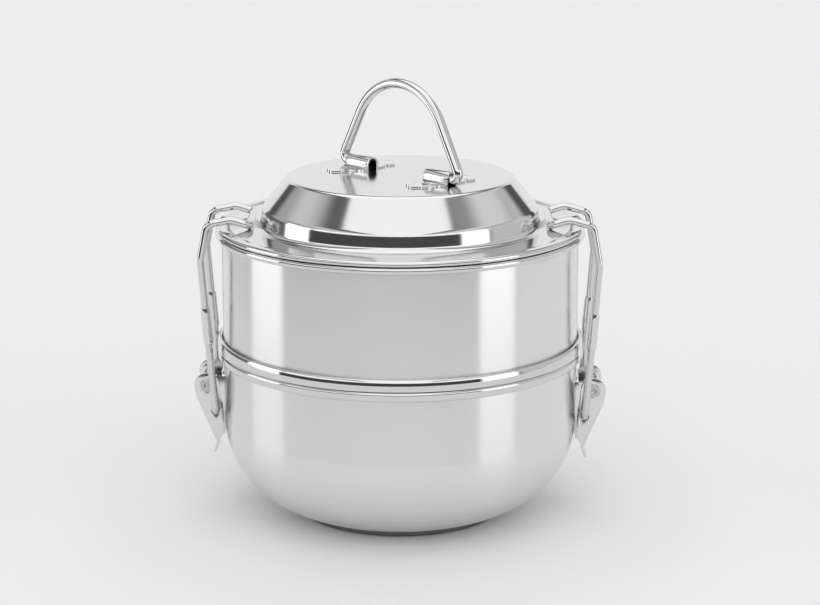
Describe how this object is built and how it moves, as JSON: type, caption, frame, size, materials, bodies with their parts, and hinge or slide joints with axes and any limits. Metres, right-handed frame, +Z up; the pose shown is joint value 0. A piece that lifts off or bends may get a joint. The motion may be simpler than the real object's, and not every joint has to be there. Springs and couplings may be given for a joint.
{
  "type": "tiffin carrier",
  "caption": "Stacked round steel lunch carrier with a round-bottomed bowl, a straight container, a domed lid with a folding wire handle, and lever clamps at the sides.",
  "frame": {"origin": "on the table under the centre of the foot ring", "axes": "+Z up along the axis of the bowl, clamps at -X (left) and +X (right), front at -Y"},
  "size_m": [0.1688, 0.15, 0.1788],
  "materials": {
    "satin_body": "stainless steel, spun and softly polished, with fine turning lines round it",
    "polished_rim": "stainless steel, rolled rim polished bright",
    "polished_lid": "stainless steel, buffed nearly to a mirror",
    "bright_wire": "stainless steel wire, drawn and bright",
    "sleeve_steel": "steel tube, crimped, slightly duller than the wire",
    "pressed_steel": "pressed stainless sheet, bright with soft tumbled edges",
    "rivet_steel": "steel rivet with a hollow head"
  },
  "bodies": {
    "lower_bowl": {"lower_bowl": "satin_body", "clamp_bracket_left": "pressed_steel", "clamp_bracket_right": "pressed_steel", "lever_rivet_left": "rivet_steel", "lever_rivet_right": "rivet_steel"},
    "separator_plate": {"separator_plate": "polished_rim"},
    "upper_container": {"upper_container": "satin_body"},
    "lid": {"lid": "polished_lid", "handle_bracket_left": "pressed_steel", "handle_bracket_right": "pressed_steel"},
    "handle": {"handle": "bright_wire"},
    "lever_left": {"lever_left": "pressed_steel"},
    "wire_bail_left": {"hook_wire_left": "bright_wire", "sleeve_front_left": "sleeve_steel", "sleeve_rear_left": "sleeve_steel", "leg_wire_front_left": "bright_wire", "leg_wire_rear_left": "bright_wire"},
    "lever_right": {"lever_right": "pressed_steel"},
    "wire_bail_right": {"hook_wire_right": "bright_wire", "sleeve_front_right": "sleeve_steel", "sleeve_rear_right": "sleeve_steel", "leg_wire_front_right": "bright_wire", "leg_wire_rear_right": "bright_wire"}
  },
  "joints": [
    {"name": "left_lever_hinge", "type": "hinge", "parent": "lower_bowl", "child": "lever_left", "pos_m": [-0.0793, 0, 0.054], "axis": [0, 1, 0], "range_deg": [0, 120]},
    {"name": "right_lever_hinge", "type": "hinge", "parent": "lower_bowl", "child": "lever_right", "pos_m": [0.0793, 0, 0.0516], "axis": [0, -1, 0], "range_deg": [0, 120]},
    {"name": "left_bail_hinge", "type": "hinge", "parent": "lever_left", "child": "wire_bail_left", "pos_m": [-0.07565, 0, 0.04335], "axis": [0, -1, 0], "range_deg": [0, 255]},
    {"name": "right_bail_hinge", "type": "hinge", "parent": "lever_right", "child": "wire_bail_right", "pos_m": [0.07565, 0, 0.04095], "axis": [0, 1, 0], "range_deg": [0, 255]},
    {"name": "plate_lift", "type": "slide", "parent": "lower_bowl", "child": "separator_plate", "axis": [0, 0, 1], "range_m": [0, 0.0031]},
    {"name": "container_lift", "type": "slide", "parent": "separator_plate", "child": "upper_container", "axis": [0, 0, 1], "range_m": [0, 0.004]},
    {"name": "lid_lift", "type": "slide", "parent": "upper_container", "child": "lid", "axis": [0, 0, 1], "range_m": [0, 0.0022]},
    {"name": "handle_hinge", "type": "hinge", "parent": "lid", "child": "handle", "pos_m": [0, 0, 0.1417], "axis": [0.6947, -0.7193, 0], "range_deg": [-85, 85]}
  ],
  "couplings": [
    {"joint": "left_lever_hinge", "follows": "plate_lift", "rad_per_m": 675.61},
    {"joint": "right_lever_hinge", "follows": "plate_lift", "rad_per_m": 675.61},
    {"joint": "left_bail_hinge", "follows": "plate_lift", "rad_per_m": 1435.7},
    {"joint": "right_bail_hinge", "follows": "plate_lift", "rad_per_m": 1435.7},
    {"joint": "container_lift", "follows": "plate_lift", "ratio": 1.2903},
    {"joint": "lid_lift", "follows": "plate_lift", "ratio": 0.7096}
  ]
}
